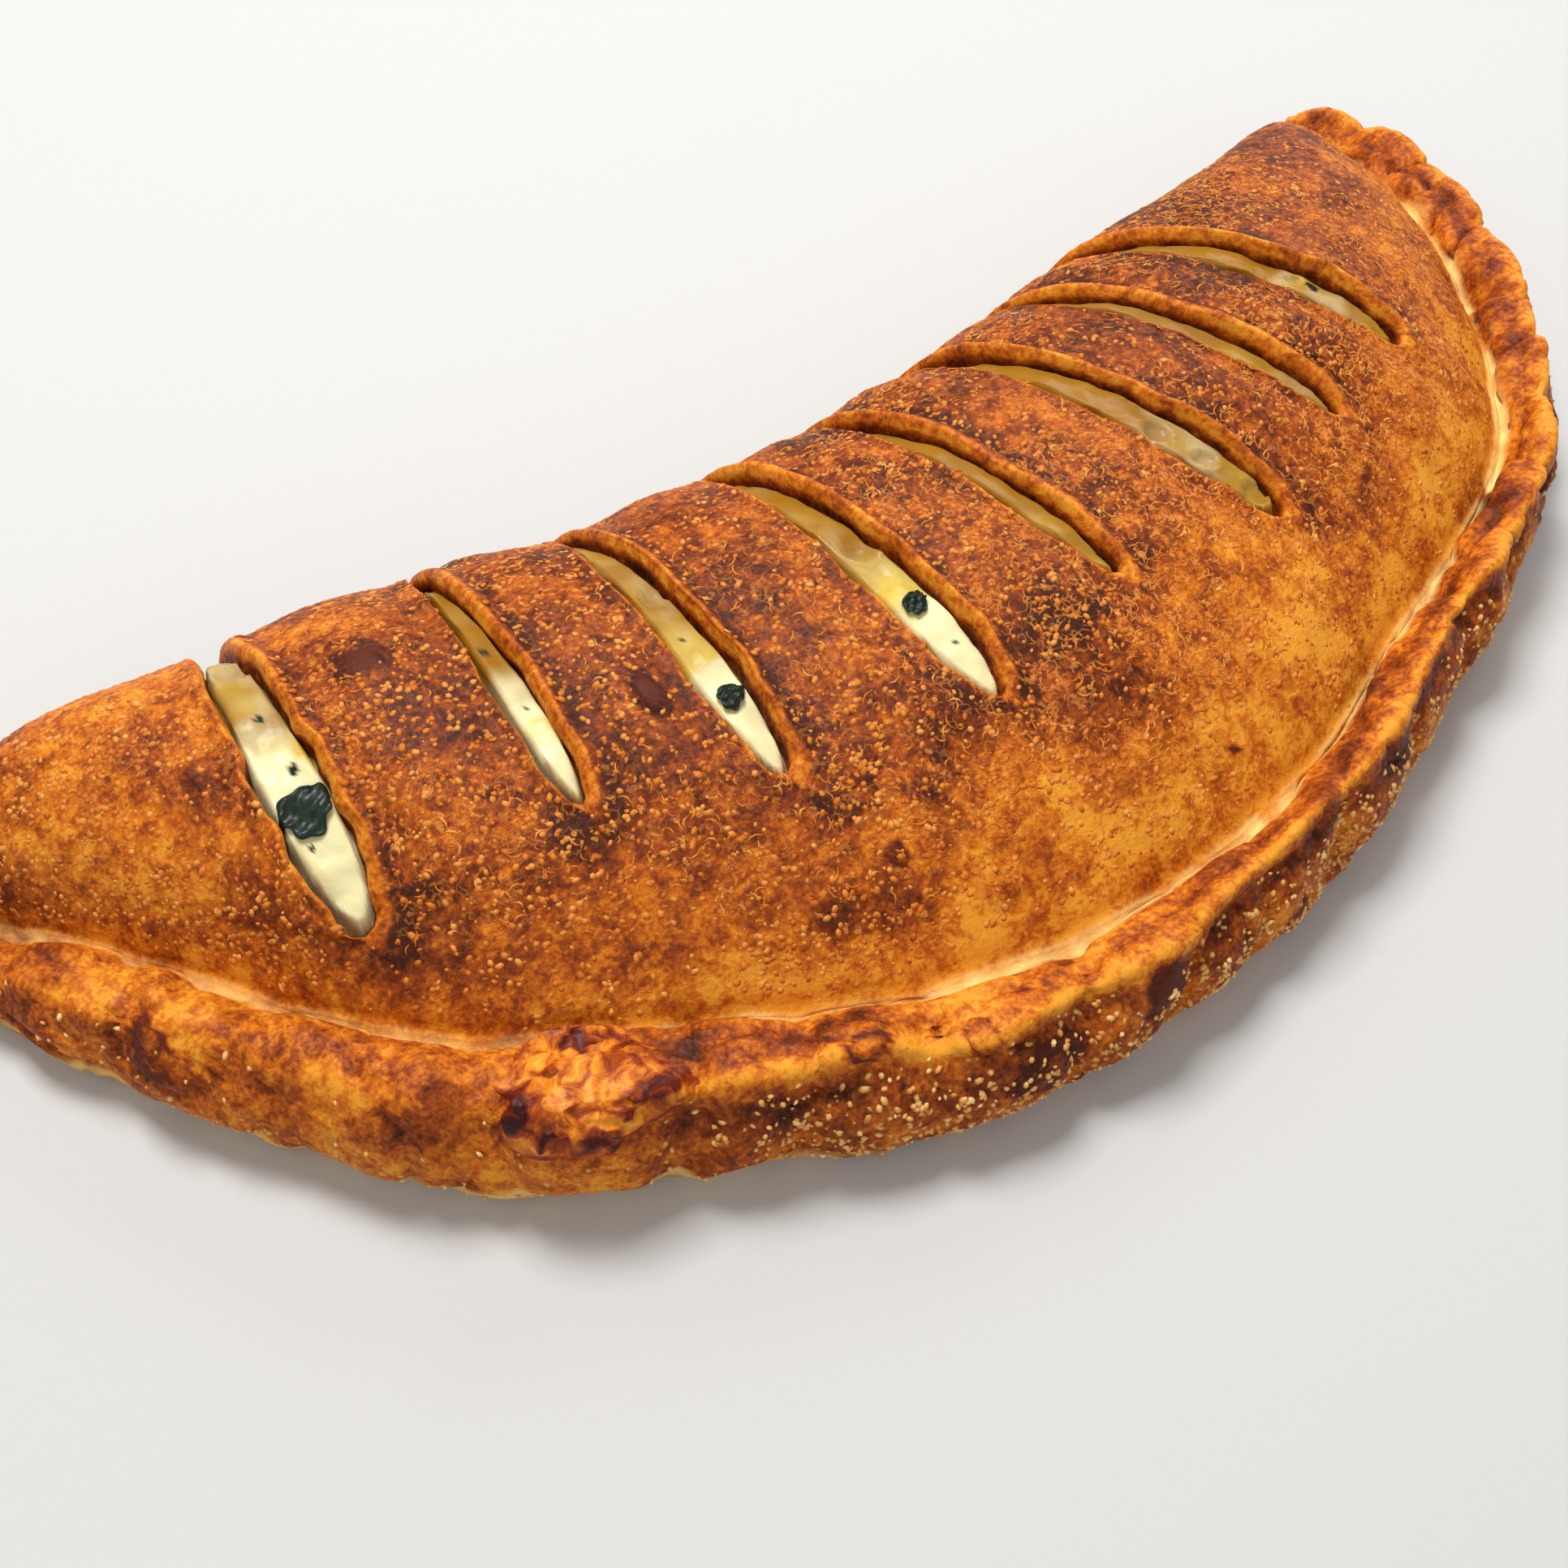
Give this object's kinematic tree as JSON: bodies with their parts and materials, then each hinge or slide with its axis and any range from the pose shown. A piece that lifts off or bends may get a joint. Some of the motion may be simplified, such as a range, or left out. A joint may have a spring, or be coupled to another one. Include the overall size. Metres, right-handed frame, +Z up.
{
  "type": "calzone",
  "caption": "Baked half-moon calzone with a pinched rolled rim, a domed top scored with slits, and a cheese and spinach filling showing inside.",
  "frame": {"origin": "centre of the flat base's bounding box, where the calzone rests", "axes": "+X along the long axis towards the blunt right end, +Y from the rolled rim towards the folded side, +Z up"},
  "size_m": [0.4279, 0.194, 0.0556],
  "materials": {
    "crust": "browned baked dough, dry with a faint oil sheen",
    "cheese": "soft melted cheese, moist",
    "baked_cheese": "cheese baked hard and orange",
    "spinach": "wilted dark green leaf, moist"
  },
  "bodies": {
    "root": {"crust": "crust", "filling": "cheese", "leaked_cheese": "baked_cheese", "spinach_leaf_1": "spinach", "spinach_leaf_2": "spinach", "spinach_leaf_3": "spinach"}
  },
  "joints": []
}
